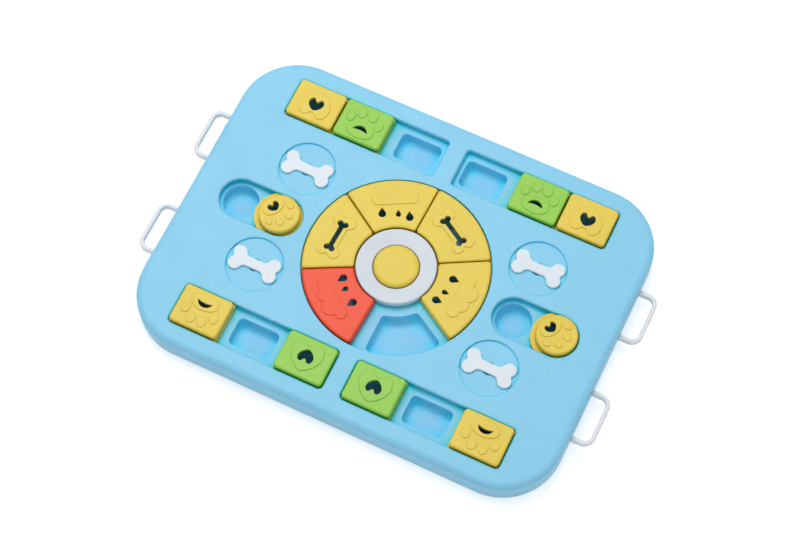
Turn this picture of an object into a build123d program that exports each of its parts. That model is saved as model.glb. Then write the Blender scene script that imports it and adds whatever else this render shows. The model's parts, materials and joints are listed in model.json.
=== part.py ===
"""Dog puzzle feeder board: a hollow deck with sliding tiles, a wedge wheel, turning bones and drawers.

The frame has its origin under the middle of the board, on the surface it stands on.
X runs along the long side, Y along the short side, and Z is up. All sizes are in millimetres.
Pieces that repeat on the left side are the right side's pieces turned half round about Z.
"""
from build123d import *
import os
from math import asin, cos, radians, sin

os.makedirs("parts", exist_ok=True)

# ---------------------------------------------------------------- board
board_corner = 55.0
board_height = 28.0
foot_height = 2.0
foot_edge_round = 0.5
deck_wall = 2.6
deck_edge_round = 6.0
opening_round = 0.8
slot_edge_round = 1.8
base_height = 5.5
base_thickness = 2.2
base_rim_wall = 3.6
base_inset = 0.6
base_edge_round = 1.4
tongue_height = 2.0
tongue_clearance = 0.2

# ---------------------------------------------------------------- room between the pieces of the layout
row_side_room = 5.6
row_end_room = 41.5
row_wheel_gap = 1.9
row_middle_gap = 2.5
slider_end_room = 12.5
slider_wheel_gap = 0.6
bone_inset = 87.4
bone_pad_gap = 0.5

# ---------------------------------------------------------------- what slides under the deck
slide_flange = 5.0
slide_play = 0.2
track_wall = 1.6
ledge_plate = 1.8
pit_depth = 12.0
pit_corner = 5.0
pit_floor_round = 3.0
body_clearance = 0.9
flange_clearance = 0.3

# ---------------------------------------------------------------- tiles
tile_length = 45.6
tile_width = 36.8
tile_corner = 3.5
tile_rise = 3.8
tile_edge_round = 1.8
tile_wall = 2.0
tile_lip_x = 0.6
tile_lip_y = 1.8
tile_places = 3
tile_place_gap = 3.65
tile_touch_gap = 0.5
square_pit_end_margin = 3.1
square_pit_side_margin = 5.15

# ---------------------------------------------------------------- round sliders
knob_radius = 18.3
knob_lip = 4.5
knob_rise = 4.4
knob_edge_round = 2.0
knob_place_gap = 3.6
knob_rest_gap = 1.6
knob_paw_turn = -116.0
knob_ear_turn = 125.0
round_pit_margin = 2.0

# ---------------------------------------------------------------- wheel
wheel_radius = 83.5
wheel_places = 6
wheel_ear_angles = (50, 90, 130, 230, 270, 310)
wedge_lip_out = 2.8
wedge_lip_in = 3.1
wedge_lip_height = 2.2
wedge_rise = 1.8
wedge_corner = 3.0
wedge_edge_round = 2.0
wedge_pitch = 59.5
wedge_start = -1.0
wedge_gap = 0.7
wedge_pit_inner_margin = 7.6
wedge_pit_outer_margin = 2.3
wedge_pit_gap = 15.2
wedge_pit_corner = 4.0

# ---------------------------------------------------------------- hub and squeaker
ring_rise = 0.9
ring_dish = 2.4
ring_plate = 2.5
ring_skirt = 2.0
ring_cover = 3.2
ring_gap = 1.0
ring_edge_round = 1.6
button_radius = 20.2
button_clearance = 0.5
button_rise = 2.2
button_dome = 0.6
button_shoulder = 3.6
button_flange_lip = 3.6
button_flange = 1.8
button_wall = 2.0
sleeve_wall = 1.8
sleeve_stub_gap = 0.7
spring_wire = 0.6
spring_outset = 1.0
spring_coils = 5
plunger_radius = 4.0
bulb_radius = 13.5
bulb_wall = 1.5
bulb_round = 5.0
bulb_height = 13.4
reed_radius = 4.8
reed_bore = 2.4
reed_height = 5.0
reed_clearance = 0.05
hub_screw_count = 3

# ---------------------------------------------------------------- bones that lock the drawers
bone_recess_radius = 25.7
bone_recess_depth = 2.0
bone_recess_rim = 0.4
bone_lobe_x = 16.7
bone_lobe_y = 5.6
bone_lobe_radius = 6.4
bone_shaft = 9.6
bone_waist_blend = 5.0
bone_end_blend = 2.0
bone_height = 2.5
bone_edge_round = 1.2
bone_stem_reach = 1.4
stem_radius = 4.6
stem_clearance = 0.08
stem_bore_chamfer = 1.5
stem_boss_wall = 3.4
stem_boss_drop = 7.0
cam_length = 16.0
cam_width = 6.0
cam_thickness = 3.0
cam_gap = 0.1
cam_clearance = 0.6

# ---------------------------------------------------------------- drawers and pull loops
drawer_front_lip = 2.0
drawer_front_wall = 2.6
drawer_wall = 1.6
drawer_corner = 2.0
drawer_lift = 0.5
drawer_top_gap = 1.0
drawer_travel = 70.0
drawer_side_gap = 0.4
drawer_front_gap = 0.3
drawer_slot_depth = 5.0
drawer_stop_width = 12.0
drawer_stop_height = 3.0
drawer_stop_gap = 0.2
rib_wall = 1.6
guide_rib_height = 9.0
rail_inset = 6.0
loop_thickness = 4.0
loop_height = 7.0
loop_edge_round = 1.5
loop_reach = 19.2
loop_width = 49.6
loop_bend = 8.0
loop_rise = 6.2
loop_head_lip = 0.8
loop_head_length = 1.4
loop_hole_clearance = 0.05

# ---------------------------------------------------------------- screws, posts and feet
screw_radius = 1.2
screw_head_radius = 2.5
screw_head_height = 1.5
screw_clearance = 0.05
track_screw_bite = 6.0
hub_screw_bite = 4.6
cam_screw_bite = 4.0
shell_screw_bite = 8.0
pilot_spare = 0.3
stub_radius = 3.0
ear_radius = 4.2
ear_overlap = 1.0
post_radius = 4.5
well_height = 2.8
well_radius = 6.0
well_depth = 3.0
well_head_gap = 0.5
corner_post_inset_x = 24.0
corner_post_inset_y = 41.0
middle_post_inset = 9.0
inner_post_gap = 4.7
foot_radius = 7.5
foot_pin_radius = 2.0
foot_pin_clearance = 0.05
foot_inset_x = 35.0
foot_inset_y = 63.0
foot_middle_inset = 21.0

# ---------------------------------------------------------------- raised motifs and treat holes
motif_rise = 0.8
motif_round = 0.4
hole_round = 0.4
fine = 0.01
hole_heart = (14.0, 12.0, 0.26)
hole_heart_y = -1.4
big_heart = (28.6, 26.6, 0.16)
big_heart_y = -0.4
paw_pad = (0.0, -7.8, 12.6, 7.8)
paw_toes = ((-13.6, 2.6, 3.9, 5.0), (-5.2, 9.4, 4.2, 5.2), (5.2, 9.4, 4.2, 5.2), (13.6, 2.6, 3.9, 5.0))
crescent_half = 7.0
crescent_outer = 5.4
crescent_inner = 1.2
crescent_y = -8.4
knob_heart = (10.6, 8.6, 0.3)
knob_heart_y = -7.6
knob_pad = (0.0, -8.2, 10.6, 7.2)
knob_toes = ((-12.0, 0.4, 3.0, 3.7), (-5.0, 7.4, 3.2, 4.0), (5.0, 7.4, 3.2, 4.0), (12.0, 0.4, 3.0, 3.7))
hole_bone = (12.6, 2.5, 2.7, 4.4, 1.2, 0.5)
big_bone = (15.6, 5.4, 5.5, 11.4, 3.0, 1.2)
drops = ((-9.6, 10.2, 9.4, 6.7), (-10.9, -4.0, 6.7, 4.6), (-14.4, -13.8, 9.4, 6.7))
cloud_puffs = ((4.5, 13.4, 5.6), (9.1, 3.6, 8.0), (7.5, -8.8, 6.6), (3.9, -17.4, 5.2))
cloud_base = (2.4, -2.0, 7.0, 30.0)

# ---------------------------------------------------------------- levels that follow
base_bottom = foot_height
base_floor = base_bottom + base_thickness
seam = base_bottom + base_height
deck_top = base_bottom + board_height
deck_under = deck_top - deck_wall
ledge = deck_under - slide_play - slide_flange
ledge_under = ledge - ledge_plate
pit_floor = ledge - pit_depth
pit_under = pit_floor - track_wall
tile_top = deck_top + tile_rise
knob_top = deck_top + knob_rise
wedge_top = deck_top + wedge_rise
ring_top = deck_top + ring_rise
ring_inner_top = ring_top - ring_dish
ring_under = ring_inner_top - ring_plate
skirt_bottom = ledge + wedge_lip_height + slide_play
button_top = deck_top + button_rise
button_rim = button_top - button_dome
button_flange_top = ring_under - slide_play
button_flange_bottom = button_flange_top - button_flange
bulb_top = pit_floor + bulb_height
recess_floor = deck_top - bone_recess_depth
pad_under = recess_floor - deck_wall
boss_bottom = deck_under - stem_boss_drop
cam_top = boss_bottom - cam_gap
cam_bottom = cam_top - cam_thickness
drawer_bottom = seam + drawer_lift
drawer_top = ledge_under - drawer_top_gap
drawer_height = drawer_top - drawer_bottom
loop_level = drawer_bottom + loop_rise
well_top = base_floor + well_height

# ---------------------------------------------------------------- hub and wheel sizes that follow
button_hole_radius = button_radius + button_clearance
button_flange_radius = button_radius + button_flange_lip
sleeve_inner = button_flange_radius + flange_clearance
hub_cup_radius = sleeve_inner
spring_radius = button_radius + spring_outset
hub_screw_circle = sleeve_inner + sleeve_wall + sleeve_stub_gap + stub_radius
ring_outer = hub_screw_circle + stub_radius + ring_cover
wedge_inner = ring_outer + ring_gap
wedge_outer = wheel_radius - body_clearance
wedge_middle = (wedge_inner + wedge_outer) / 2
wedge_flange_outer = wedge_outer + wedge_lip_out
wedge_flange_inner = wedge_inner - wedge_lip_in
wedge_pit_inner = wedge_inner + wedge_pit_inner_margin
wedge_pit_outer = wedge_outer - wedge_pit_outer_margin
wheel_track_radius = wedge_flange_outer + flange_clearance

# ---------------------------------------------------------------- rows and slots that follow
ear_reach = track_wall + ear_radius - ear_overlap
tile_flange_length = tile_length + 2 * tile_lip_x
tile_flange_width = tile_width + 2 * tile_lip_y
tile_touch = tile_flange_length + tile_touch_gap
tile_pitch = tile_flange_length + tile_place_gap
tile_first = post_radius + row_middle_gap + track_wall + flange_clearance + tile_flange_length / 2
tile_last = tile_first + (tile_places - 1) * tile_pitch
tile_middle = (tile_first + tile_last) / 2
tile_slot_length = tile_last - tile_first + tile_length + 2 * body_clearance
tile_slot_width = tile_width + 2 * body_clearance
tile_track_length = tile_last - tile_first + tile_flange_length + 2 * flange_clearance
tile_track_width = tile_flange_width + 2 * flange_clearance
tile_row = wheel_track_radius + 2 * track_wall + row_wheel_gap + tile_track_width / 2
square_pit_length = tile_length - 2 * square_pit_end_margin
square_pit_width = tile_width - 2 * square_pit_side_margin
knob_flange_radius = knob_radius + knob_lip
knob_slot_radius = knob_radius + body_clearance
knob_track_radius = knob_flange_radius + flange_clearance
knob_pitch = 2 * knob_radius + knob_place_gap
knob_first = wheel_track_radius + 2 * track_wall + slider_wheel_gap + knob_track_radius
knob_last = knob_first + knob_pitch
knob_middle = (knob_first + knob_last) / 2
round_pit_radius = knob_radius - round_pit_margin

# ---------------------------------------------------------------- board, bones and drawers that follow
side_face = max(
    knob_last + knob_track_radius + ear_reach + ear_radius + slider_end_room + deck_wall,
    tile_middle + tile_track_length / 2 + track_wall + row_end_room,
)
board_length = 2 * side_face
board_width = 2 * (tile_row + tile_track_width / 2 + ear_reach + ear_radius + row_side_room + deck_wall)
bone_pad_radius = bone_recess_radius + bone_recess_rim
bone_x = side_face - bone_inset
bone_y = knob_track_radius + track_wall + bone_pad_gap + bone_pad_radius
stem_bore = stem_radius + stem_clearance
drawer_front_back = side_face - drawer_front_wall
drawer_rear_inside = bone_x - cam_length / 2 - cam_clearance
drawer_rear = drawer_rear_inside - drawer_wall
loop_leg = (loop_width - loop_thickness) / 2
drawer_inside_width = 2 * (loop_width / 2 + loop_head_lip + drawer_corner)
drawer_body_width = drawer_inside_width + 2 * drawer_wall
drawer_front_width = drawer_body_width + 2 * drawer_front_lip
drawer_tongue_gap = drawer_front_width + 2 * drawer_front_gap
pilot_radius = screw_radius + screw_clearance
corner_post_x = side_face - corner_post_inset_x
corner_post_y = board_width / 2 - corner_post_inset_y
middle_post_y = board_width / 2 - middle_post_inset
inner_post_x = tile_middle
inner_post_y = tile_row - tile_track_width / 2 - track_wall - inner_post_gap - post_radius
foot_x = side_face - foot_inset_x
foot_y = board_width / 2 - foot_inset_y
foot_middle_y = board_width / 2 - foot_middle_inset

half_turns = (0, 180)
rows = (1, -1)
corner_name = {(0, 1): "right_rear", (0, -1): "right_front", (180, 1): "left_front", (180, -1): "left_rear"}
side_name = {0: "right", 180: "left"}


def level(height, turn=0.0, x=0.0, y=0.0):
    """A level plane at a height, with its origin at x, y of the board and its x axis turned about Z."""
    return Plane(origin=(x, y, height), x_dir=(cos(radians(turn)), sin(radians(turn)), 0), z_dir=(0, 0, 1))


def turned(x, y, turn):
    """Where the point x, y goes when it is turned about the middle of the board."""
    c = cos(radians(turn))
    s = sin(radians(turn))
    return (c * x - s * y, s * x + c * y)


def upright(x, y, height, turn):
    """An upright plane that faces outward along the turned x axis, with its own x axis level."""
    px, py = turned(x, y, turn)
    outward = (cos(radians(turn)), sin(radians(turn)), 0)
    return Plane(origin=(px, py, height), x_dir=(-outward[1], outward[0], 0), z_dir=outward)


def save(part, name):
    """Name a finished piece and write it."""
    part.label = name
    export_step(part, f"parts/{name}.step")


def around(radius, angles, x=0.0, y=0.0):
    """Ears on a circle about x, y: each is x, y and the direction back to the middle."""
    return [(x + radius * cos(radians(a)), y + radius * sin(radians(a)), a + 180) for a in angles]


def tile_ears(row):
    """Screw ears of a tile track, on its two long sides."""
    reach = tile_track_width / 2 + ear_reach
    ends = (tile_middle - tile_pitch / 2, tile_middle + tile_pitch / 2)
    return [(x, row * tile_row + side * reach, -90 * side) for x in ends for side in (1, -1)]


knob_ears = [
    *around(knob_track_radius + ear_reach, (0,), knob_last),
    *around(knob_track_radius + ear_reach, (knob_ear_turn, -knob_ear_turn), knob_first),
]
wheel_ears = around(wheel_track_radius + ear_reach, wheel_ear_angles)
hub_ears = around(hub_screw_circle, [90 + 360 / hub_screw_count * i for i in range(hub_screw_count)])
hub_screw_places = [(x, y) for x, y, back in hub_ears]
track_screw_places = [
    *[turned(x, y, turn) for turn in half_turns for row in rows for x, y, back in tile_ears(row)],
    *[turned(x, y, turn) for turn in half_turns for x, y, back in knob_ears],
    *[(x, y) for x, y, back in wheel_ears],
]
post_places = [
    *[(sx * corner_post_x, sy * corner_post_y) for sx in (1, -1) for sy in (1, -1)],
    *[(0.0, sy * middle_post_y) for sy in (1, -1)],
    *[(sx * inner_post_x, sy * inner_post_y) for sx in (1, -1) for sy in (1, -1)],
]
foot_places = [
    *[(sx * foot_x, sy * foot_y) for sx in (1, -1) for sy in (1, -1)],
    *[(0.0, sy * foot_middle_y) for sy in (1, -1)],
]
bone_places = [(sx * bone_x, sy * bone_y) for sx in (1, -1) for sy in (1, -1)]


# ================================================================ outlines
def heart(width, height, notch):
    """A soft heart about its own middle, lobes towards +Y: the notch is a share of its height."""
    w = width / 2
    h = height / 2
    low = h - notch * height
    with BuildSketch() as outline:
        with BuildLine():
            Bezier((0, low), (0.24 * w, low), (0.26 * w, h), (0.54 * w, h))
            Bezier((0.54 * w, h), (0.82 * w, h), (w, 0.68 * h), (w, 0.26 * h))
            Bezier((w, 0.26 * h), (w, -0.36 * h), (0.3 * w, -h), (0, -h))
            mirror(about=Plane.YZ)
        make_face()
    return outline.sketch


def drop(length, width):
    """A drop with its round belly about the origin and its tip towards +X."""
    r = width / 2
    tip = length - r
    lean = asin(r / tip)
    touch = (r * sin(lean), r * cos(lean))
    with BuildSketch() as outline:
        with BuildLine():
            Line((tip, 0), touch)
            ThreePointArc(touch, (-r, 0), (touch[0], -touch[1]))
            Line((touch[0], -touch[1]), (tip, 0))
        make_face()
    return outline.sketch


def crescent():
    """A crescent with its two points on the x axis and its belly towards +Y."""
    with BuildSketch() as outline:
        with BuildLine():
            ThreePointArc((-crescent_half, 0), (0, crescent_outer), (crescent_half, 0))
            ThreePointArc((-crescent_half, 0), (0, crescent_inner), (crescent_half, 0))
        make_face()
    return outline.sketch


def bone(lobe_x, lobe_y, lobe_radius, shaft, waist_blend, end_blend):
    """A bone along X: two lobes at each end of a shaft, blended at the waist and between the lobes."""
    with BuildSketch() as outline:
        Rectangle(2 * lobe_x, shaft)
        with GridLocations(2 * lobe_x, 2 * lobe_y, 2, 2):
            Circle(lobe_radius)
        fillet(outline.vertices().filter_by(lambda corner: abs(corner.X) > lobe_x), end_blend)
        fillet(outline.vertices().filter_by(lambda corner: abs(corner.X) < lobe_x), waist_blend)
    return outline.sketch


def pads(*shapes):
    """Separate oval pads, each x, y and its two radii."""
    with BuildSketch() as outline:
        for x, y, rx, ry in shapes:
            with Locations((x, y)):
                Ellipse(rx, ry)
    return outline.sketch


def cloud():
    """A cloud with its flat side towards the wheel's middle, placed on a wedge."""
    x, y, depth, width = cloud_base
    with BuildSketch() as outline:
        with Locations((wedge_middle + x, y)):
            Rectangle(depth, width)
        for px, py, r in cloud_puffs:
            with Locations((wedge_middle + px, py)):
                Circle(r)
    return outline.sketch


def sector(inner, outer, span, gap, corner):
    """A ring sector about +X whose sides stand half a gap off the radial lines."""
    half = radians(span / 2)
    apex = gap / 2 / sin(half)
    reach = 2 * outer
    with BuildSketch() as outline:
        Circle(outer)
        Circle(inner, mode=Mode.SUBTRACT)
        with BuildLine():
            Polyline(
                (apex, 0), (apex + reach * cos(half), -reach * sin(half)),
                (apex + reach * cos(half), reach * sin(half)), close=True,
            )
        make_face(mode=Mode.INTERSECT)
        fillet(outline.vertices(), corner)
    return outline.sketch


def ears(places):
    """Screw ears drawn on the current plane, each reaching back to its track's wall."""
    for x, y, back in places:
        with Locations(Location((x, y, 0), back)):
            Circle(ear_radius)
            Rectangle(ear_radius, 2 * ear_radius, align=(Align.MIN, Align.CENTER))


def screws(places, head_bottom, bite):
    """Screws driven upward: each head at head_bottom, each shank past its head by bite."""
    with BuildPart() as group:
        with BuildSketch(level(head_bottom)):
            with Locations(*places):
                Circle(screw_head_radius)
        extrude(amount=screw_head_height)
        with BuildSketch(level(head_bottom + screw_head_height)):
            with Locations(*places):
                Circle(screw_radius)
        extrude(amount=bite)
    return group.part


# ================================================================ pits
def pit(shape):
    """The hollow of one treat pit, with a soft edge round its floor."""
    with BuildPart() as hollow:
        with BuildSketch(level(pit_floor)):
            add(shape)
        extrude(amount=pit_depth)
        fillet(hollow.edges().group_by(Axis.Z)[0], pit_floor_round)
    return hollow.part


def pit_cup(shape):
    """The cup that holds one treat pit, from under the ledge to under the pit's floor."""
    with BuildPart() as cup:
        with BuildSketch(level(pit_under)):
            add(shape)
            offset(amount=track_wall)
        extrude(amount=ledge_under - pit_under)
    return cup.part


with BuildSketch() as square_pit:
    RectangleRounded(square_pit_length, square_pit_width, pit_corner)

with BuildSketch() as round_pit:
    Circle(round_pit_radius)

wedge_pit = sector(wedge_pit_inner, wedge_pit_outer, 360 / wheel_places, wedge_pit_gap, wedge_pit_corner)
square_places = [(tile_first + i * tile_pitch, 0.0) for i in range(tile_places)]


# ================================================================ tracks under the deck
def make_tile_track(turn, row):
    """A trough under one tile slot: its ledge carries the tiles and has a pit at each place."""
    middle_x, middle_y = turned(tile_middle, row * tile_row, turn)
    places = [Location((*turned(x, row * tile_row, turn), 0)) for x, y in square_places]
    here = [(x - tile_middle, y - row * tile_row, back) for x, y, back in tile_ears(row)]
    with BuildPart() as track:
        with BuildSketch(level(ledge_under, turn, middle_x, middle_y)):
            RectangleRounded(tile_track_length, tile_track_width, tile_corner)
            offset(amount=track_wall)
        extrude(amount=deck_under - ledge_under)
        with BuildSketch(level(ledge, turn, middle_x, middle_y)):
            RectangleRounded(tile_track_length, tile_track_width, tile_corner)
        extrude(amount=deck_under - ledge, mode=Mode.SUBTRACT)
        with BuildSketch(level(ledge_under, turn, middle_x, middle_y)):
            ears(here)
        extrude(amount=ledge_plate)
        with Locations(*places):
            add(pit_cup(square_pit.sketch))
        with Locations(*places):
            add(pit(square_pit.sketch), mode=Mode.SUBTRACT)
        here_holes = [level(ledge, turn, middle_x, middle_y) * Location((x, y, 0)) for x, y, back in here]
        with Locations(*here_holes):
            Hole(pilot_radius, depth=ledge_plate)
    save(track.part, f"tile_track_{corner_name[(turn, row)]}")


def make_knob_track(turn):
    """A round-ended trough under one round slider, with a pit at each of its two places."""
    middle_x, middle_y = turned(knob_middle, 0, turn)
    places = [Location((*turned(knob_first + i * knob_pitch, 0, turn), 0)) for i in range(2)]
    here = [(x - knob_middle, y, back) for x, y, back in knob_ears]
    with BuildPart() as track:
        with BuildSketch(level(ledge_under, turn, middle_x, middle_y)):
            SlotCenterToCenter(knob_pitch, 2 * (knob_track_radius + track_wall))
        extrude(amount=deck_under - ledge_under)
        with BuildSketch(level(ledge, turn, middle_x, middle_y)):
            SlotCenterToCenter(knob_pitch, 2 * knob_track_radius)
        extrude(amount=deck_under - ledge, mode=Mode.SUBTRACT)
        with BuildSketch(level(ledge_under, turn, middle_x, middle_y)):
            ears(here)
        extrude(amount=ledge_plate)
        with Locations(*places):
            add(pit_cup(round_pit.sketch))
        with Locations(*places):
            add(pit(round_pit.sketch), mode=Mode.SUBTRACT)
        here_holes = [level(ledge, turn, middle_x, middle_y) * Location((x, y, 0)) for x, y, back in here]
        with Locations(*here_holes):
            Hole(pilot_radius, depth=ledge_plate)
    save(track.part, f"slider_track_{side_name[turn]}")


for turn in half_turns:
    make_knob_track(turn)
    for row in rows:
        make_tile_track(turn, row)

with BuildPart() as wheel_track:
    with BuildSketch(level(ledge_under)):
        Circle(wheel_track_radius + track_wall)
    extrude(amount=deck_under - ledge_under)
    with BuildSketch(level(ledge)):
        Circle(wheel_track_radius)
    extrude(amount=deck_under - ledge, mode=Mode.SUBTRACT)
    with BuildSketch(level(ledge_under)):
        ears(wheel_ears)
    extrude(amount=ledge_plate)
    with PolarLocations(0, wheel_places):
        add(pit_cup(wedge_pit))
    with BuildSketch(level(pit_under)):
        Circle(hub_cup_radius + track_wall)
    extrude(amount=ledge_under - pit_under)
    with PolarLocations(0, wheel_places):
        add(pit(wedge_pit), mode=Mode.SUBTRACT)
    with BuildSketch(level(pit_floor)):
        Circle(hub_cup_radius)
    extrude(amount=pit_depth, mode=Mode.SUBTRACT)
    with Locations(*[Location((x, y, ledge)) for x, y, back in (*wheel_ears, *hub_ears)]):
        Hole(pilot_radius, depth=ledge_plate)
save(wheel_track.part, "wheel_track")

# ================================================================ deck shell
with BuildPart() as top_shell:
    with BuildSketch(level(seam)):
        RectangleRounded(board_length, board_width, board_corner)
    extrude(amount=deck_top - seam)
    fillet(top_shell.edges().group_by(Axis.Z)[-1], deck_edge_round)
    with BuildSketch(level(seam)):
        RectangleRounded(board_length - 2 * deck_wall, board_width - 2 * deck_wall, board_corner - deck_wall)
    extrude(amount=deck_under - seam, mode=Mode.SUBTRACT)
    # the wheel's opening, and the round recess of each bone with a pad and a boss under it
    with BuildSketch(level(deck_under)):
        Circle(wheel_radius)
    extrude(amount=deck_wall, mode=Mode.SUBTRACT)
    with BuildSketch(level(deck_under)):
        with Locations(*bone_places):
            Circle(bone_pad_radius)
    extrude(amount=pad_under - deck_under)
    with BuildSketch(level(deck_under)):
        with Locations(*bone_places):
            Circle(stem_bore + stem_boss_wall)
    extrude(amount=boss_bottom - deck_under)
    with BuildSketch(level(recess_floor)):
        with Locations(*bone_places):
            Circle(bone_recess_radius)
    extrude(amount=bone_recess_depth, mode=Mode.SUBTRACT)
    fillet(top_shell.faces().sort_by(Axis.Z)[-1].inner_wires().edges(), opening_round)
    # slots for the tiles and round sliders, with a softer rim than the round openings
    with BuildSketch(level(deck_under)):
        with GridLocations(2 * tile_middle, 2 * tile_row, 2, 2):
            RectangleRounded(tile_slot_length, tile_slot_width, tile_corner)
        with GridLocations(2 * knob_middle, 0, 2, 1):
            SlotCenterToCenter(knob_pitch, 2 * knob_slot_radius)
    extrude(amount=deck_wall, mode=Mode.SUBTRACT)
    rims = [wire.edges() for wire in top_shell.faces().sort_by(Axis.Z)[-1].inner_wires()]
    fillet([edge for rim in rims if len(rim) > 1 for edge in rim], slot_edge_round)
    # screw stubs over the tracks' ears, and posts down to the base
    with BuildSketch(level(deck_under)):
        with Locations(*track_screw_places):
            Circle(stub_radius)
    extrude(amount=ledge - deck_under)
    with BuildSketch(level(deck_under)):
        with Locations(*post_places):
            Circle(post_radius)
    extrude(amount=well_top - deck_under)
    with Locations(*[Location((x, y, ledge), (180, 0, 0)) for x, y in track_screw_places]):
        Hole(pilot_radius, depth=track_screw_bite - ledge_plate + pilot_spare)
    with Locations(*[Location((x, y, well_top), (180, 0, 0)) for x, y in post_places]):
        Hole(pilot_radius, depth=shell_screw_bite + pilot_spare)
    with Locations(*[Location((x, y, recess_floor)) for x, y in bone_places]):
        CounterSinkHole(stem_bore, stem_bore + stem_bore_chamfer, depth=recess_floor - boss_bottom)
    # openings in the short sides for the drawers' fronts
    for turn in half_turns:
        for row in rows:
            with BuildSketch(level(seam, turn)):
                with Locations((side_face - deck_wall / 2, row * bone_y)):
                    Rectangle(deck_wall, drawer_tongue_gap)
            extrude(amount=drawer_top + drawer_front_gap - seam, mode=Mode.SUBTRACT)
save(top_shell.part, "top_shell")

# ================================================================ base
def board_outline(inset):
    """The board's outline in plan, drawn a little smaller all round."""
    RectangleRounded(board_length - 2 * inset, board_width - 2 * inset, board_corner - inset)


with BuildPart() as base_cover:
    with BuildSketch(level(base_bottom)):
        board_outline(base_inset)
    extrude(amount=base_height)
    fillet(base_cover.edges().group_by(Axis.Z)[0], base_edge_round)
    inner_inset = base_inset + base_rim_wall
    with BuildSketch(level(seam)):
        board_outline(deck_wall + tongue_clearance)
    extrude(amount=tongue_height)
    with BuildSketch(level(base_floor)):
        board_outline(inner_inset)
    extrude(amount=base_height + tongue_height, mode=Mode.SUBTRACT)
    with BuildSketch(level(base_floor)):
        with Locations(*post_places):
            Circle(well_radius)
    extrude(amount=well_height)
    # a ring that carries the hub's cup when the button is pressed
    with BuildSketch(level(base_floor)):
        Circle(hub_cup_radius)
        Circle(hub_cup_radius - rib_wall, mode=Mode.SUBTRACT)
    extrude(amount=pit_under - base_floor)
    for turn in half_turns:
        for row in rows:
            drawer_y = row * bone_y
            rear_stop = drawer_rear - rib_wall / 2 - drawer_side_gap
            front_stop = drawer_rear + rib_wall + drawer_travel + drawer_stop_gap + rib_wall / 2
            guide_length = drawer_front_back - drawer_rear - inner_inset
            guide_x = drawer_rear + guide_length / 2
            guide_y = drawer_body_width / 2 + drawer_side_gap + rib_wall / 2
            # the tongue leaves each drawer's way out free
            with BuildSketch(level(seam, turn)):
                with Locations((side_face, drawer_y)):
                    Rectangle(2 * (inner_inset + rib_wall), drawer_tongue_gap)
            extrude(amount=tongue_height, mode=Mode.SUBTRACT)
            rail_y = drawer_body_width / 2 - rail_inset
            with BuildSketch(level(base_floor, turn)):
                with Locations(*[(guide_x, drawer_y + s * rail_y) for s in rows]):
                    Rectangle(guide_length, rib_wall)
            extrude(amount=drawer_bottom - base_floor)
            with BuildSketch(level(base_floor, turn)):
                with Locations(*[(guide_x, drawer_y + s * guide_y) for s in rows]):
                    Rectangle(guide_length, rib_wall)
                with Locations((rear_stop, drawer_y)):
                    Rectangle(rib_wall, drawer_body_width)
            extrude(amount=guide_rib_height)
            with BuildSketch(level(base_floor, turn)):
                with Locations((front_stop, drawer_y)):
                    Rectangle(rib_wall, drawer_stop_width)
            extrude(amount=drawer_bottom - drawer_stop_gap - base_floor)
    with BuildSketch(level(base_bottom)):
        with Locations(*post_places):
            Circle(screw_head_radius + well_head_gap)
    extrude(amount=well_depth, mode=Mode.SUBTRACT)
    with Locations(*[Location((x, y, well_top)) for x, y in post_places]):
        Hole(pilot_radius, depth=well_height + base_thickness)
    with Locations(*[Location((x, y, base_floor)) for x, y in foot_places]):
        Hole(foot_pin_radius + foot_pin_clearance, depth=base_thickness)
save(base_cover.part, "base_cover")

with BuildPart() as rubber_feet:
    with BuildSketch(level(0)):
        with Locations(*foot_places):
            Circle(foot_radius)
    extrude(amount=foot_height)
    fillet(rubber_feet.edges().group_by(Axis.Z)[0], foot_edge_round)
    with BuildSketch(level(foot_height)):
        with Locations(*foot_places):
            Circle(foot_pin_radius)
    extrude(amount=base_thickness)
save(rubber_feet.part, "rubber_feet")

well_plate = well_top - base_bottom - well_depth
well_head = base_bottom + well_depth - screw_head_height
ear_head = ledge_under - screw_head_height
save(screws(post_places, well_head, well_plate + shell_screw_bite), "shell_screws")
save(screws(track_screw_places, ear_head, track_screw_bite), "track_screws")
save(screws(hub_screw_places, ear_head, ledge_plate + hub_screw_bite), "hub_screws")

# ================================================================ hub, button and squeaker
with BuildPart() as hub_ring:
    with BuildSketch(Plane.XZ) as ring_section:
        with BuildLine():
            Polyline(
                (button_hole_radius, ring_under), (button_hole_radius, ring_inner_top),
                (ring_outer, ring_top), (ring_outer, skirt_bottom),
                (ring_outer - ring_skirt, skirt_bottom), (ring_outer - ring_skirt, ring_under), close=True,
            )
        make_face()
        fillet(ring_section.vertices().sort_by_distance((ring_outer, ring_top))[0], ring_edge_round)
        fillet(
            ring_section.vertices().sort_by_distance((button_hole_radius, ring_inner_top))[0], opening_round
        )
    revolve(axis=Axis.Z)
    with BuildSketch(level(ledge)):
        Circle(sleeve_inner + sleeve_wall)
        with Locations(*hub_screw_places):
            Circle(stub_radius)
        Circle(sleeve_inner, mode=Mode.SUBTRACT)
    extrude(amount=ring_under - ledge)
    with Locations(*[Location((x, y, ledge), (180, 0, 0)) for x, y in hub_screw_places]):
        Hole(pilot_radius, depth=hub_screw_bite + pilot_spare)
save(hub_ring.part, "hub_ring")

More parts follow.
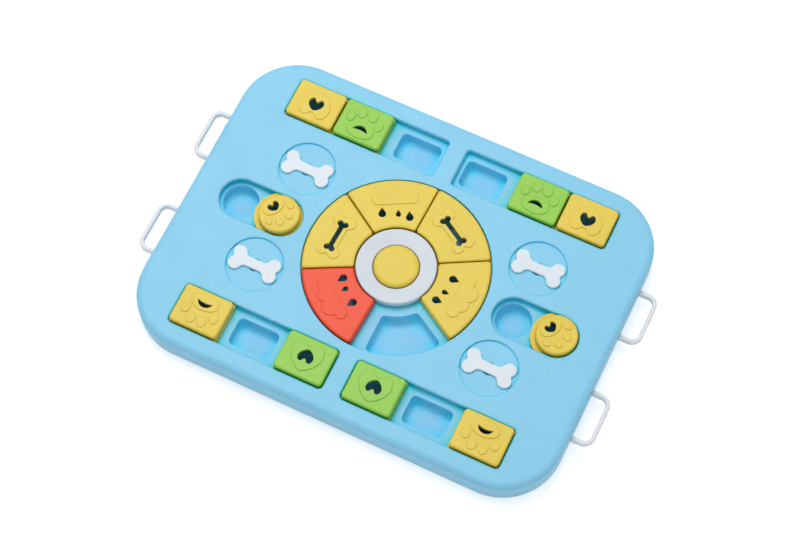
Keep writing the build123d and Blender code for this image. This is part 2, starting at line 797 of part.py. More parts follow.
with BuildPart() as squeaker_button:
    with BuildSketch(Plane.XZ) as button_section:
        with BuildLine():
            dome = ThreePointArc(
                (0, button_top), (button_radius / 2, button_top - button_dome / 4),
                (button_radius, button_rim),
            )
            Polyline(
                dome @ 1, (button_radius, button_flange_top), (button_flange_radius, button_flange_top),
                (button_flange_radius, button_flange_bottom),
                (button_radius - button_wall, button_flange_bottom),
                (button_radius - button_wall, button_rim - button_shoulder),
                (button_radius - button_wall - button_shoulder, button_rim - button_wall),
                (plunger_radius, button_rim - button_wall), (plunger_radius, bulb_top), (0, bulb_top),
                (0, button_top),
            )
        make_face()
        fillet(button_section.vertices().sort_by_distance((button_radius, button_rim))[0], button_shoulder)
    revolve(axis=Axis.Z)
save(squeaker_button.part, "squeaker_button")

with BuildPart() as button_spring:
    with BuildLine():
        coil = Helix(
            pitch=(button_flange_bottom - pit_floor - 2 * spring_wire) / spring_coils,
            height=button_flange_bottom - pit_floor - 2 * spring_wire, radius=spring_radius,
            center=(0, 0, pit_floor + spring_wire),
        )
    with BuildSketch(Plane(origin=coil @ 0, z_dir=coil % 0)):
        Circle(spring_wire)
    sweep(is_frenet=True)
save(button_spring.part, "button_spring")

with BuildPart() as squeaker_bulb:
    with BuildSketch(level(pit_floor)):
        Circle(bulb_radius)
    extrude(amount=bulb_height)
    fillet(squeaker_bulb.edges().group_by(Axis.Z)[-1], bulb_round)
    with BuildSketch(level(pit_floor + bulb_wall)):
        Circle(bulb_radius - bulb_wall)
    extrude(amount=bulb_height - 2 * bulb_wall, taper=bulb_wall, mode=Mode.SUBTRACT)
    with BuildSketch(level(pit_floor)):
        Circle(reed_radius + reed_clearance)
    extrude(amount=bulb_wall, mode=Mode.SUBTRACT)
save(squeaker_bulb.part, "squeaker_bulb")

with BuildPart() as squeaker_reed:
    with BuildSketch(level(pit_floor)):
        Circle(reed_radius)
    extrude(amount=reed_height)
    with BuildSketch(level(pit_floor + ledge_plate)):
        Circle(reed_bore)
    extrude(amount=reed_height, mode=Mode.SUBTRACT)
save(squeaker_reed.part, "squeaker_reed")


# ================================================================ tiles and round sliders
def soften_holes(piece, top):
    """Round the upper rim of each treat hole through the top wall of the piece being built."""
    inside = top - tile_wall
    boxes = [(face, face.bounding_box()) for face in piece.faces()]
    hole_walls = [face for face, box in boxes if box.min.Z > inside - fine and box.size.Z > tile_wall - fine]
    fillet([face.edges().sort_by(Axis.Z)[-1] for face in hole_walls], hole_round)


def make_tile(name, x, y, turn, raised, holes):
    """A hollow tile with a flange that runs under the deck, a raised motif and a treat hole."""
    with BuildPart() as tile:
        with BuildSketch(level(ledge, turn, x, y)):
            RectangleRounded(tile_length, tile_width, tile_corner)
        extrude(amount=tile_top - ledge)
        fillet(tile.edges().group_by(Axis.Z)[-1], tile_edge_round)
        with BuildSketch(level(ledge, turn, x, y)):
            RectangleRounded(tile_flange_length, tile_flange_width, tile_corner)
        extrude(amount=slide_flange)
        with BuildSketch(level(ledge, turn, x, y)):
            RectangleRounded(tile_length - 2 * tile_wall, tile_width - 2 * tile_wall, tile_corner - tile_wall)
        extrude(amount=tile_top - tile_wall - ledge, mode=Mode.SUBTRACT)
        with BuildSketch(level(tile_top - tile_wall / 2, turn, x, y)):
            add(raised)
        extrude(amount=tile_wall / 2 + motif_rise)
        fillet(tile.faces().group_by(Axis.Z)[-1].edges(), motif_round)
        with BuildSketch(level(tile_top - tile_wall, turn, x, y)):
            add(holes)
        extrude(amount=tile_wall + motif_rise, mode=Mode.SUBTRACT)
        soften_holes(tile, tile_top)
    save(tile.part, name)


def make_knob(name, x, turn):
    """A round hollow slider on a wide flange, with a raised paw and a heart-shaped treat hole."""
    with BuildPart() as knob:
        with BuildSketch(level(ledge, turn, x)):
            Circle(knob_radius)
        extrude(amount=knob_top - ledge)
        fillet(knob.edges().group_by(Axis.Z)[-1], knob_edge_round)
        with BuildSketch(level(ledge, turn, x)):
            Circle(knob_flange_radius)
        extrude(amount=slide_flange)
        with BuildSketch(level(ledge, turn, x)):
            Circle(knob_radius - tile_wall)
        extrude(amount=knob_top - tile_wall - ledge, mode=Mode.SUBTRACT)
        with BuildSketch(level(knob_top - tile_wall / 2, turn, x)):
            add(pads(knob_pad, *knob_toes))
        extrude(amount=tile_wall / 2 + motif_rise)
        fillet(knob.faces().group_by(Axis.Z)[-1].edges(), motif_round)
        with BuildSketch(level(knob_top - tile_wall, turn, x)):
            with Locations(Location((0, knob_heart_y, 0), 180)):
                add(heart(*knob_heart))
        extrude(amount=tile_wall + motif_rise, mode=Mode.SUBTRACT)
        soften_holes(knob, knob_top)
    save(knob.part, name)


with BuildSketch() as heart_motif:
    with Locations(Location((0, big_heart_y, 0), 180)):
        add(heart(*big_heart))

with BuildSketch() as heart_hole:
    with Locations((0, hole_heart_y)):
        add(heart(*hole_heart))

with BuildSketch() as crescent_hole:
    with Locations((0, crescent_y)):
        add(crescent())

heart_tile = (heart_motif.sketch, heart_hole.sketch)
paw_tile = (pads(paw_pad, *paw_toes), crescent_hole.sketch)
tile_next = tile_last - tile_touch

make_tile("heart_tile_left_rear", -tile_last, tile_row, 0, *heart_tile)
make_tile("paw_tile_left_rear", -tile_next, tile_row, 0, *paw_tile)
make_tile("paw_tile_right_rear", tile_next, tile_row, 0, *paw_tile)
make_tile("heart_tile_right_rear", tile_last, tile_row, 0, *heart_tile)
make_tile("paw_tile_left_front", -tile_last, -tile_row, 180, *paw_tile)
make_tile("heart_tile_left_front", -tile_first, -tile_row, 180, *heart_tile)
make_tile("heart_tile_right_front", tile_first, -tile_row, 180, *heart_tile)
make_tile("paw_tile_right_front", tile_last, -tile_row, 180, *paw_tile)
make_knob("round_slider_left", -knob_first - knob_rest_gap, knob_paw_turn)
make_knob("round_slider_right", knob_last, knob_paw_turn)


# ================================================================ wheel wedges
def make_wedge(name, place, raised, holes):
    """A hollow wedge of the wheel, held at its rim by the deck and at its inner end by the hub ring."""
    turn = wedge_start + place * wedge_pitch
    with BuildPart() as wedge:
        with BuildSketch(level(ledge, turn)):
            add(sector(wedge_inner, wedge_outer, wedge_pitch, wedge_gap, wedge_corner))
        extrude(amount=wedge_top - ledge)
        fillet(wedge.edges().group_by(Axis.Z)[-1], wedge_edge_round)
        with BuildSketch(level(ledge, turn)):
            add(sector(wedge_inner, wedge_flange_outer, wedge_pitch, wedge_gap, wedge_corner))
        extrude(amount=slide_flange)
        with BuildSketch(level(ledge, turn)):
            add(sector(wedge_flange_inner, wedge_outer, wedge_pitch, wedge_gap, wedge_corner))
        extrude(amount=wedge_lip_height)
        with BuildSketch(level(ledge, turn)):
            add(sector(
                wedge_inner + tile_wall, wedge_outer - tile_wall, wedge_pitch,
                wedge_gap + 2 * tile_wall, wedge_corner - wedge_edge_round,
            ))
        extrude(amount=wedge_top - tile_wall - ledge, mode=Mode.SUBTRACT)
        with BuildSketch(level(wedge_top - tile_wall / 2, turn)):
            add(raised)
        extrude(amount=tile_wall / 2 + motif_rise)
        fillet(wedge.faces().group_by(Axis.Z)[-1].edges(), motif_round)
        with BuildSketch(level(wedge_top - tile_wall, turn)):
            add(holes)
        extrude(amount=tile_wall + motif_rise, mode=Mode.SUBTRACT)
        soften_holes(wedge, wedge_top)
    save(wedge.part, name)


with BuildSketch() as wedge_bone:
    with Locations(Location((wedge_middle, 0, 0), 90)):
        add(bone(*big_bone))

with BuildSketch() as wedge_bone_hole:
    with Locations(Location((wedge_middle, 0, 0), 90)):
        add(bone(*hole_bone))

with BuildSketch() as drop_holes:
    for x, y, length, width in drops:
        with Locations((wedge_middle + x, y)):
            add(drop(length, width))

cloud_wedge = (cloud(), drop_holes.sketch)
bone_wedge = (wedge_bone.sketch, wedge_bone_hole.sketch)

make_wedge("cloud_wedge_right", 0, *cloud_wedge)
make_wedge("bone_wedge_right", 1, *bone_wedge)
make_wedge("cloud_wedge_rear", 2, *cloud_wedge)
make_wedge("bone_wedge_left", 3, *bone_wedge)
make_wedge("red_cloud_wedge", 4, *cloud_wedge)


# ================================================================ bone locks
def make_bone_lock(turn, row):
    """A bone on a stem through the deck, with the cam and screw that hold it and lock its drawer."""
    corner = corner_name[(turn, row)]
    x, y = turned(bone_x, row * bone_y, turn)
    with BuildPart() as lock:
        with BuildSketch(level(recess_floor, turn, x, y)):
            add(bone(
                bone_lobe_x, bone_lobe_y, bone_lobe_radius, bone_shaft, bone_waist_blend, bone_end_blend,
            ))
        extrude(amount=bone_height)
        fillet(lock.edges().group_by(Axis.Z)[-1], bone_edge_round)
        with BuildSketch(level(cam_top, turn, x, y)):
            Circle(stem_radius)
        extrude(amount=recess_floor + bone_stem_reach - cam_top)
        with Locations(Location((x, y, cam_top), (180, 0, 0))):
            Hole(pilot_radius, depth=cam_screw_bite + pilot_spare)
    save(lock.part, f"bone_lock_{corner}")
    with BuildPart() as cam:
        with BuildSketch(level(cam_bottom, turn, x, y)):
            SlotOverall(cam_length, cam_width)
            Circle(pilot_radius, mode=Mode.SUBTRACT)
        extrude(amount=cam_thickness)
    save(cam.part, f"lock_cam_{corner}")
    cam_screw = screws([(x, y)], cam_bottom - screw_head_height, cam_thickness + cam_screw_bite)
    save(cam_screw, f"cam_screw_{corner}")


# ================================================================ drawers
def loop_section(lip=0.0):
    """The upright rounded section of a pull loop's strap, drawn larger all round by a lip."""
    RectangleRounded(loop_thickness + 2 * lip, loop_height + 2 * lip, loop_edge_round)


def make_drawer(turn, row):
    """A treat drawer behind one short side: its rear wall is slotted to pass the lock's cam."""
    corner = corner_name[(turn, row)]
    y = row * bone_y
    with BuildPart() as drawer:
        with BuildSketch(level(drawer_bottom, turn)):
            with Locations(((drawer_rear + drawer_front_back) / 2, y)):
                Rectangle(drawer_front_back - drawer_rear, drawer_body_width)
            with Locations((side_face - drawer_front_wall / 2, y)):
                Rectangle(drawer_front_wall, drawer_front_width)
        extrude(amount=drawer_height)
        with BuildSketch(level(drawer_bottom + drawer_wall, turn)):
            with Locations(((drawer_rear_inside + drawer_front_back) / 2, y)):
                RectangleRounded(drawer_front_back - drawer_rear_inside, drawer_inside_width, drawer_corner)
        extrude(amount=drawer_height - drawer_wall, mode=Mode.SUBTRACT)
        with BuildSketch(level(drawer_top - drawer_slot_depth, turn)):
            with Locations((drawer_rear + drawer_wall / 2, y)):
                Rectangle(2 * drawer_wall, cam_width + 2 * cam_clearance)
        extrude(amount=drawer_slot_depth, mode=Mode.SUBTRACT)
        with BuildSketch(level(drawer_bottom, turn)):
            with Locations((drawer_rear + rib_wall / 2, y)):
                Rectangle(rib_wall, drawer_stop_width)
        extrude(amount=-drawer_stop_height)
        for side in rows:
            with BuildSketch(upright(drawer_front_back, y + side * loop_leg, loop_level, turn)):
                loop_section(loop_hole_clearance)
            extrude(amount=drawer_front_wall, mode=Mode.SUBTRACT)
    save(drawer.part, f"drawer_{corner}")


def make_pull_loop(turn, row):
    """A D-shaped strap through a drawer's front, held by a head on the end of each leg."""
    y = row * bone_y
    leg_start = drawer_front_back - loop_head_length
    far = side_face + loop_reach - loop_thickness / 2
    corners = [(leg_start, y - loop_leg), (far, y - loop_leg), (far, y + loop_leg), (leg_start, y + loop_leg)]
    with BuildPart() as loop:
        with BuildLine():
            FilletPolyline(*[(*turned(px, py, turn), loop_level) for px, py in corners], radius=loop_bend)
        with BuildSketch(upright(leg_start, y - loop_leg, loop_level, turn)):
            loop_section()
        sweep()
        for side in rows:
            with BuildSketch(upright(leg_start, y + side * loop_leg, loop_level, turn)):
                loop_section(loop_head_lip)
            extrude(amount=loop_head_length)
    save(loop.part, f"pull_loop_{corner_name[(turn, row)]}")


for turn in half_turns:
    for row in rows:
        make_bone_lock(turn, row)
        make_drawer(turn, row)
        make_pull_loop(turn, row)
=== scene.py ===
# %% [markdown]
# # A dog puzzle feeder board
#
# The board is an injection-moulded toy: a pale blue deck with sliding tiles, a wheel of wedges, bones
# that turn, a squeaker button and four drawers with milky pull loops. The moving pieces arrive as
# finished solids, so this lesson is about everything that makes them look like real plastic: a camera
# with a long lens, soft light, and materials that carry the fine skin of a steel mould.

# %% Load the frame
from math import cos, radians, sin

import bpy
from mathutils import Matrix, Vector
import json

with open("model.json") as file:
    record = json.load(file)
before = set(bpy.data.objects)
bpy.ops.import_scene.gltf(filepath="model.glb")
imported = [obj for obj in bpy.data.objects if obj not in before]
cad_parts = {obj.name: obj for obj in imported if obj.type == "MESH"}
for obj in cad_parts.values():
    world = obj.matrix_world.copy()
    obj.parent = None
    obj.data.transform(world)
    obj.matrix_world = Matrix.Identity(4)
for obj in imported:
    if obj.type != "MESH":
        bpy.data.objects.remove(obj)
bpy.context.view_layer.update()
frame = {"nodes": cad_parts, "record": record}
nodes = frame["nodes"]

# %% [markdown]
# ## The camera
#
# A catalogue picture of a flat toy is taken from high above with a long lens, so that its far edge is
# hardly smaller than its near edge. The camera is placed by the angles it looks from: how far it is
# turned about the board, how high it stands, and the small roll of the tripod head. Building the three
# axes by hand keeps the roll exact, which a Track To constraint can't do.

# %% Camera angles and distance
photo_width = 790
turn_about_board = radians(26.889)
height_angle = radians(66.901)
tripod_roll = radians(-1.329)
camera_distance = 1.79208
aim_height = 0.002
sensor_width = 36.0
focal_pixels = 2026.0
centre_right_pixels = 1.49
centre_down_pixels = 3.62

# %% Camera axes
backward = Vector((
    sin(turn_about_board) * cos(height_angle),
    -cos(turn_about_board) * cos(height_angle),
    sin(height_angle),
))
level_right = Vector((0, 0, 1)).cross(backward).normalized()
level_up = backward.cross(level_right)
right = cos(tripod_roll) * level_right + sin(tripod_roll) * level_up
up = -sin(tripod_roll) * level_right + cos(tripod_roll) * level_up
print("camera looks along", tuple(round(-v, 3) for v in backward))

# %% Camera object
camera_data = bpy.data.cameras.new("camera")
camera_data.sensor_width = sensor_width
camera_data.lens = focal_pixels / photo_width * sensor_width
camera_data.shift_x = -centre_right_pixels / photo_width
camera_data.shift_y = centre_down_pixels / photo_width
camera = bpy.data.objects.new("camera", camera_data)
camera.matrix_world = (
    Matrix.Translation(Vector((0, 0, aim_height)) + backward * camera_distance)
    @ Matrix((right, up, backward)).transposed().to_4x4()
)
bpy.context.scene.collection.objects.link(camera)
bpy.context.scene.camera = camera
print("lens", round(camera_data.lens, 2), "mm")

# %% [markdown]
# ## The light
#
# The toy stands in a white photo tent. A bright sky on all sides fills the shadows, and one large
# softbox behind its left shoulder makes the edges that face it shine and leaves the near walls of the
# pits a little darker. The world shows white to the camera and to reflections, but it lights the toy
# with a lower strength, so that each colour renders about as it is written.

# %% World light
tent_strength = 0.62
world = bpy.data.worlds.new("photo_tent")
bpy.context.scene.world = world
world.use_nodes = True
tree = world.node_tree
tree.nodes.clear()
world_out = tree.nodes.new("ShaderNodeOutputWorld")
fill_sky = tree.nodes.new("ShaderNodeBackground")
fill_sky.inputs["Strength"].default_value = tent_strength
white_sky = tree.nodes.new("ShaderNodeBackground")
white_sky.inputs["Color"].default_value = (1, 1, 1, 1)


def seen_by_eye(tree):
    """1 for rays that show the background: from the camera, off a gloss or through glass."""
    path = tree.nodes.new("ShaderNodeLightPath")
    either = tree.nodes.new("ShaderNodeMath")
    either.operation = "MAXIMUM"
    any_of_them = tree.nodes.new("ShaderNodeMath")
    any_of_them.operation = "MAXIMUM"
    tree.links.new(path.outputs["Is Camera Ray"], either.inputs[0])
    tree.links.new(path.outputs["Is Glossy Ray"], either.inputs[1])
    tree.links.new(either.outputs[0], any_of_them.inputs[0])
    tree.links.new(path.outputs["Is Transmission Ray"], any_of_them.inputs[1])
    return any_of_them.outputs[0]


sky_mix = tree.nodes.new("ShaderNodeMixShader")
tree.links.new(seen_by_eye(tree), sky_mix.inputs["Fac"])
tree.links.new(fill_sky.outputs[0], sky_mix.inputs[1])
tree.links.new(white_sky.outputs[0], sky_mix.inputs[2])
tree.links.new(sky_mix.outputs[0], world_out.inputs["Surface"])
print("tent strength", tent_strength)

# %% Softboxes


def softbox(name, place, size, power):
    """A square soft light that faces the board's middle."""
    data = bpy.data.lights.new(name, "AREA")
    data.size = size
    data.energy = power
    lamp = bpy.data.objects.new(name, data)
    lamp.location = place
    lamp.rotation_euler = Vector(place).to_track_quat("Z", "Y").to_euler()
    bpy.context.scene.collection.objects.link(lamp)
    print(name, "at", place, power, "W")


softbox("key_softbox", (-0.4, 0.45, 1.6), 0.8, 12.5)
softbox("fill_softbox", (0.9, -0.8, 1.5), 1.0, 2.0)

# %% [markdown]
# ## The floor
#
# A white sweep under the toy. Its own colour and a little glow that only the camera sees bring it up
# to paper white, while the soft contact shadow at the rim of the board stays. Its back is clear, so a
# look from below finds the screws and the rubber feet instead of the back of the paper.

# %% White floor
floor_glow = 0.5
floor_half = 6.0
paper_grey = 0.93
paper_roughness = 0.9
floor_mesh = bpy.data.meshes.new("floor")
floor_corners = [(sx * floor_half, sy * floor_half, 0) for sx, sy in ((-1, -1), (1, -1), (1, 1), (-1, 1))]
floor_mesh.from_pydata(floor_corners, [], [(0, 1, 2, 3)])
floor = bpy.data.objects.new("floor", floor_mesh)
bpy.context.scene.collection.objects.link(floor)
paper = bpy.data.materials.new("white_paper")
paper.use_nodes = True
tree = paper.node_tree
paper_front = tree.nodes["Principled BSDF"]
paper_front.inputs["Base Color"].default_value = (paper_grey, paper_grey, paper_grey, 1)
paper_front.inputs["Roughness"].default_value = paper_roughness
paper_front.inputs["Emission Color"].default_value = (1, 1, 1, 1)
glow = tree.nodes.new("ShaderNodeMath")
glow.operation = "MULTIPLY"
glow.inputs[1].default_value = floor_glow
tree.links.new(seen_by_eye(tree), glow.inputs[0])
tree.links.new(glow.outputs[0], paper_front.inputs["Emission Strength"])
one_sided = tree.nodes.new("ShaderNodeMixShader")
tree.links.new(tree.nodes.new("ShaderNodeNewGeometry").outputs["Backfacing"], one_sided.inputs["Fac"])
tree.links.new(paper_front.outputs[0], one_sided.inputs[1])
tree.links.new(tree.nodes.new("ShaderNodeBsdfTransparent").outputs[0], one_sided.inputs[2])
tree.links.new(one_sided.outputs[0], tree.nodes["Material Output"].inputs["Surface"])
floor_mesh.materials.append(paper)
print("floor", 2 * floor_half, "m wide")

# %% [markdown]
# ## The skin of a mould
#
# Plastic copies the steel it was poured against. A satin toy shows three things at once: a very fine
# grain from spark erosion, slow waves where the hot plastic flowed, and tiny scuffs from hands and
# other toys. All three belong to every moulded piece, so they are one node group. It puts out a tint,
# a roughness and a height, and each material plugs them into its own Principled shader.

# %% Node group helpers


def new_group(name, inputs, outputs):
    """A shader node group with named sockets: inputs are name and default, outputs name and kind."""
    group = bpy.data.node_groups.new(name, "ShaderNodeTree")
    for socket, default in inputs:
        made = group.interface.new_socket(socket, in_out="INPUT", socket_type="NodeSocketFloat")
        made.default_value = default
    for socket, kind in outputs:
        group.interface.new_socket(socket, in_out="OUTPUT", socket_type=kind)
    start = group.nodes.new("NodeGroupInput")
    end = group.nodes.new("NodeGroupOutput")
    return group, start, end


def math_node(tree, operation, first, second):
    """One Math node; first and second are sockets or plain numbers."""
    node = tree.nodes.new("ShaderNodeMath")
    node.operation = operation
    for socket, value in zip(node.inputs, (first, second)):
        if isinstance(value, (int, float)):
            socket.default_value = value
        else:
            tree.links.new(value, socket)
    return node.outputs[0]


def noise_node(tree, place, scale, detail=2.0, roughness=0.5, stretch=None):
    """A Noise texture over a place socket, stretched along one axis if asked."""
    if stretch:
        mapping = tree.nodes.new("ShaderNodeMapping")
        mapping.inputs["Scale"].default_value = stretch
        tree.links.new(place, mapping.inputs["Vector"])
        place = mapping.outputs[0]
    noise = tree.nodes.new("ShaderNodeTexNoise")
    noise.inputs["Scale"].default_value = scale
    noise.inputs["Detail"].default_value = detail
    noise.inputs["Roughness"].default_value = roughness
    tree.links.new(place, noise.inputs["Vector"])
    return noise.outputs["Fac"]


def ramp_between(tree, value, low, high):
    """0 below low, 1 above high, and a smooth ramp between them."""
    node = tree.nodes.new("ShaderNodeMapRange")
    node.interpolation_type = "SMOOTHSTEP"
    node.inputs["From Min"].default_value = low
    node.inputs["From Max"].default_value = high
    tree.links.new(value, node.inputs["Value"])
    return node.outputs[0]


# %% The moulded skin group
grain_per_metre = 2600.0
flow_per_metre = 38.0
mottle_per_metre = 210.0
scuff_per_metre = 170.0
long_mark_band = (0.63, 0.72)
cross_mark_band = (0.64, 0.73)

skin, skin_in, skin_out = new_group(
    "moulded_skin",
    [("Grain", 1.0), ("Flow", 1.0), ("Scuffs", 1.0)],
    [("Shade", "NodeSocketFloat"), ("Roughness Change", "NodeSocketFloat"), ("Height", "NodeSocketFloat")],
)
place = skin.nodes.new("ShaderNodeTexCoord").outputs["Object"]
grain = noise_node(skin, place, grain_per_metre, 3.0, 0.6)
flow = noise_node(skin, place, flow_per_metre, 2.0, 0.45)
mottle = noise_node(skin, place, mottle_per_metre, 4.0, 0.55)
long_marks = noise_node(skin, place, scuff_per_metre, 3.0, 0.7, stretch=(1.0, 9.0, 1.0))
cross_marks = noise_node(skin, place, scuff_per_metre, 3.0, 0.7, stretch=(7.0, 1.2, 1.0))
long_scuffs = ramp_between(skin, long_marks, *long_mark_band)
cross_scuffs = ramp_between(skin, cross_marks, *cross_mark_band)
marks = math_node(skin, "MAXIMUM", long_scuffs, cross_scuffs)
scuffs = math_node(skin, "MULTIPLY", marks, skin_in.outputs["Scuffs"])
print("skin group has", len(skin.nodes), "nodes")

# %% What the skin puts out
wave_shade = 0.9
scuff_shade = 0.45
mottle_gloss = 0.12
scuff_gloss = 0.14
flow_relief = 2.2
scuff_relief = 0.5
flow_wave = math_node(skin, "MULTIPLY", math_node(skin, "SUBTRACT", flow, 0.5), skin_in.outputs["Flow"])
mottle_wave = math_node(skin, "MULTIPLY", math_node(skin, "SUBTRACT", mottle, 0.5), skin_in.outputs["Flow"])
waves = math_node(skin, "MULTIPLY", math_node(skin, "ADD", flow_wave, mottle_wave), wave_shade)
shade = math_node(skin, "ADD", waves, math_node(skin, "MULTIPLY", scuffs, scuff_shade))
skin.links.new(math_node(skin, "ADD", shade, 0.5), skin_out.inputs["Shade"])
dull_waves = math_node(skin, "MULTIPLY", mottle_wave, mottle_gloss)
dull_marks = math_node(skin, "MULTIPLY", scuffs, scuff_gloss)
skin.links.new(math_node(skin, "ADD", dull_waves, dull_marks), skin_out.inputs["Roughness Change"])
fine = math_node(skin, "MULTIPLY", math_node(skin, "SUBTRACT", grain, 0.5), skin_in.outputs["Grain"])
raised = math_node(skin, "ADD", fine, math_node(skin, "MULTIPLY", flow_wave, flow_relief))
height = math_node(skin, "SUBTRACT", raised, math_node(skin, "MULTIPLY", scuffs, scuff_relief))
skin.links.new(height, skin_out.inputs["Height"])
print("shade from waves", wave_shade, "and scuffs", scuff_shade)

# %% [markdown]
# ## Coloured plastics
#
# Every colour is the same satin plastic with another pigment. A mix towards a lighter and a darker
# neighbour of the written colour, driven by the skin's shade, keeps it from looking like a paint chip.
#
# Pigmented plastic lets light in a little way. Where pieces stand close together, light has passed
# through more pigment before it comes out, so the shade in grooves and pits looks deeper in colour and
# not just darker. That shade is painted into the colour: ambient occlusion tells how closed in a spot
# is, and mixes in a deeper painted shade colour. A second look over about a millimetre finds the seams
# and the feet of the raised motifs, and paints a thin dark line of shade there.

# %% Colours and their shades


def from_hex(code):
    """A screen colour, such as 8ed4f4, as the linear values that Blender works in."""
    channels = [int(code[i:i + 2], 16) / 255 for i in (0, 2, 4)]
    return [v / 12.92 if v <= 0.04045 else ((v + 0.055) / 1.055) ** 2.4 for v in channels]


def principled(name):
    """A new material and its Principled shader."""
    material = bpy.data.materials.new(name)
    material.use_nodes = True
    return material, material.node_tree, material.node_tree.nodes["Principled BSDF"]


def between_shades(tree, factor, colour, spread):
    """The colour a little darker where factor is 0 and a little lighter where it is 1."""
    mix = tree.nodes.new("ShaderNodeMix")
    mix.data_type = "RGBA"
    mix.inputs["A"].default_value = (*[max(v * (1 - spread), 0) for v in colour], 1)
    mix.inputs["B"].default_value = (*[min(v * (1 + spread), 1) for v in colour], 1)
    tree.links.new(factor, mix.inputs["Factor"])
    return mix.outputs["Result"]


def bump(tree, height, distance, strength=1.0):
    """A normal from a height socket; distance is the depth in metres."""
    node = tree.nodes.new("ShaderNodeBump")
    node.inputs["Distance"].default_value = distance
    node.inputs["Strength"].default_value = strength
    tree.links.new(height, node.inputs["Height"])
    return node.outputs["Normal"]


# %% Where a spot is closed in
# These occlusion masks decide where painted shade goes.
occlusion_samples = 8
pit_reach = 0.014
pit_band = (0.3, 0.88)
seam_reach = 0.002
seam_band = (0.25, 0.8)
# The painted seam shade line is this share of the painted pit shade colour.
seam_shade_darkness = 0.45


def closed_in(tree, reach, closed_below, open_above):
    """The mask for painted shade: 0 on open faces, 1 far inside a groove; reach is how far it looks, in
    metres.
    """
    node = tree.nodes.new("ShaderNodeAmbientOcclusion")
    node.samples = occlusion_samples
    node.inputs["Distance"].default_value = reach
    return math_node(tree, "SUBTRACT", 1.0, ramp_between(tree, node.outputs["AO"], closed_below, open_above))


def blend(tree, factor, first, second):
    """A colour mix: first where factor is 0, second where it is 1."""
    mix = tree.nodes.new("ShaderNodeMix")
    mix.data_type = "RGBA"
    tree.links.new(factor, mix.inputs["Factor"])
    tree.links.new(first, mix.inputs["A"])
    tree.links.new(second, mix.inputs["B"])
    return mix.outputs["Result"]


print("pits within", pit_reach, "m, seams within", seam_reach, "m")

# %% A satin plastic
shade_spread = 0.06
skin_relief = 0.00004
plastic_ior = 1.5
satin_specular = 0.3
glow_radius = (0.0012, 0.0010, 0.0008)


def satin_plastic(name, code, pit_shade_code, roughness=0.42, scuffs=1.0, glow_through=0.06):
    """A moulded satin plastic: its open colour, and the painted shade colour it takes where it is closed in.
    """
    material, tree, shader = principled(name)
    surface = tree.nodes.new("ShaderNodeGroup")
    surface.node_tree = skin
    surface.inputs["Scuffs"].default_value = scuffs
    shade = surface.outputs["Shade"]
    # Painted shade: a deeper shade colour is mixed in where the spot is closed in.
    pit_shade = from_hex(pit_shade_code)
    open_colour = between_shades(tree, shade, from_hex(code), shade_spread)
    pit_shade_colour = between_shades(tree, shade, pit_shade, shade_spread)
    # Painted shade: a darker line at the seams and at the feet of the raised motifs.
    seam_shade_colour = between_shades(tree, shade, [seam_shade_darkness * v for v in pit_shade], shade_spread)
    colour = blend(tree, closed_in(tree, pit_reach, *pit_band), open_colour, pit_shade_colour)
    colour = blend(tree, closed_in(tree, seam_reach, *seam_band), colour, seam_shade_colour)
    tree.links.new(colour, shader.inputs["Base Color"])
    dull = math_node(tree, "ADD", surface.outputs["Roughness Change"], roughness)
    tree.links.new(dull, shader.inputs["Roughness"])
    tree.links.new(bump(tree, surface.outputs["Height"], skin_relief), shader.inputs["Normal"])
    shader.inputs["IOR"].default_value = plastic_ior
    shader.inputs["Specular IOR Level"].default_value = satin_specular
    shader.inputs["Subsurface Weight"].default_value = glow_through
    shader.inputs["Subsurface Radius"].default_value = glow_radius
    shader.inputs["Subsurface Scale"].default_value = 1.0
    return material


# %% The board's colours
# The second code of each plastic is its painted shade colour for pits and grooves.
finishes = {
    "shell_blue": satin_plastic("sky_blue_plastic", "8ed4f4", "18e0ff", roughness=0.46),
    "base_blue_grey": satin_plastic("grey_blue_plastic", "96c7de", "52bce0", roughness=0.5),
    "tile_yellow": satin_plastic("warm_yellow_plastic", "ead052", "e2b424", roughness=0.4),
    "tile_green": satin_plastic("apple_green_plastic", "98d250", "72bc2e", roughness=0.4),
    "wedge_red": satin_plastic("coral_red_plastic", "f5522e", "e4330f", roughness=0.4),
    "ring_white": satin_plastic("cool_white_plastic", "d9e1ea", "c6d2de", roughness=0.42, scuffs=0.6),
    "bone_white": satin_plastic("bone_white_plastic", "e2ecf4", "bfd6e8", roughness=0.38, scuffs=0.6),
}
print("finishes:", ", ".join(finishes))

# %% [markdown]
# ## Loops, feet and screws
#
# The pull loops are unpigmented nylon. It is milky, because light wanders a few millimetres inside it
# before it comes out, so it gets subsurface scattering and a trace of transmission. The feet are soft
# rubber, dull and speckled with dust. The screws are zinc plated, with fine streaks along their length
# that change their gloss and a little of their colour.

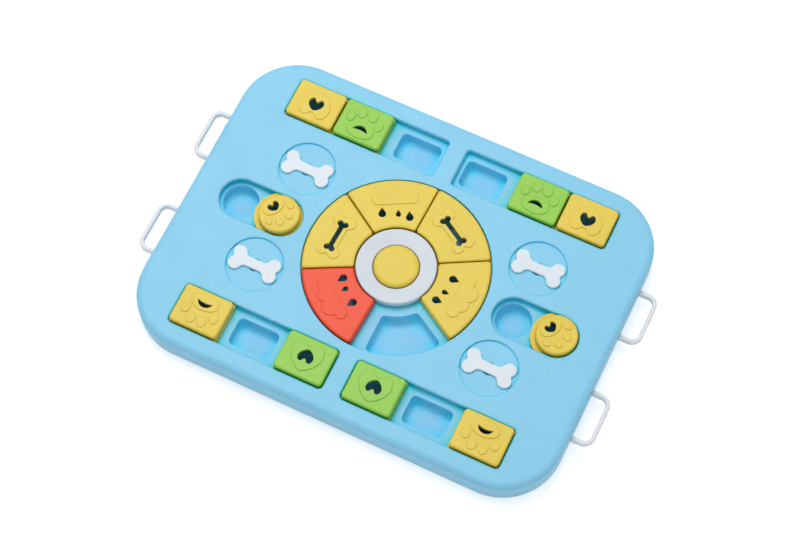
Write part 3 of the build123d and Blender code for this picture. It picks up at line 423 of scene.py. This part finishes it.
# %% Milky pull loops
milk_roughness = 0.32
milk_relief = 0.00003
milk_depth = 0.003
milky, tree, shader = principled("milky_nylon")
surface = tree.nodes.new("ShaderNodeGroup")
surface.node_tree = skin
surface.inputs["Scuffs"].default_value = 0.5
milk = between_shades(tree, surface.outputs["Shade"], from_hex("f1f2f7"), 0.03)
tree.links.new(milk, shader.inputs["Base Color"])
loop_gloss = math_node(tree, "ADD", surface.outputs["Roughness Change"], milk_roughness)
tree.links.new(loop_gloss, shader.inputs["Roughness"])
tree.links.new(bump(tree, surface.outputs["Height"], milk_relief), shader.inputs["Normal"])
shader.inputs["Transmission Weight"].default_value = 0.12
shader.inputs["IOR"].default_value = 1.45
shader.inputs["Subsurface Weight"].default_value = 0.35
shader.inputs["Subsurface Radius"].default_value = (milk_depth, milk_depth, milk_depth)
shader.inputs["Subsurface Scale"].default_value = 1.0
finishes["loop_clear"] = milky
print("light goes", milk_depth, "m into the loops")

# %% Rubber feet
specks_per_metre = 900.0
speck_relief = 0.00006
rubber, tree, shader = principled("soft_grey_rubber")
place = tree.nodes.new("ShaderNodeTexCoord").outputs["Object"]
specks = noise_node(tree, place, specks_per_metre, 3.0, 0.6)
tree.links.new(between_shades(tree, specks, from_hex("c9ccd0"), 0.12), shader.inputs["Base Color"])
tree.links.new(bump(tree, specks, speck_relief), shader.inputs["Normal"])
shader.inputs["Roughness"].default_value = 0.85
finishes["soft_rubber"] = rubber
print("specks", speck_relief, "m high")

# %% Zinc-plated screws
streaks_per_metre = 1500.0
zinc, tree, shader = principled("zinc_plated_steel")
place = tree.nodes.new("ShaderNodeTexCoord").outputs["Object"]
brushed = noise_node(tree, place, streaks_per_metre, 3.0, 0.6, stretch=(1.0, 1.0, 0.1))
tree.links.new(between_shades(tree, brushed, from_hex("b9bcbe"), 0.2), shader.inputs["Base Color"])
brush_gloss = math_node(tree, "ADD", math_node(tree, "MULTIPLY", brushed, 0.2), 0.22)
tree.links.new(brush_gloss, shader.inputs["Roughness"])
shader.inputs["Metallic"].default_value = 1.0
finishes["steel"] = zinc
print(len(finishes), "finishes")

# %% [markdown]
# ## Dressing the pieces
#
# The record names a material slot for each piece, so one loop can dress them all.

# %% Give each piece its finish
slot_of = {row["node"]: row["material_slot"] for row in frame["record"]["subparts"]}
for name, piece in nodes.items():
    piece.data.materials.clear()
    piece.data.materials.append(finishes[slot_of[name]])
print(len(slot_of), "pieces dressed")

# %% [markdown]
# ## Colour management and the last lines
#
# Standard keeps written colours as they are, which suits a catalogue picture of bright plastic.

# %% Finish
import json

bpy.context.scene.view_settings.view_transform = "Standard"
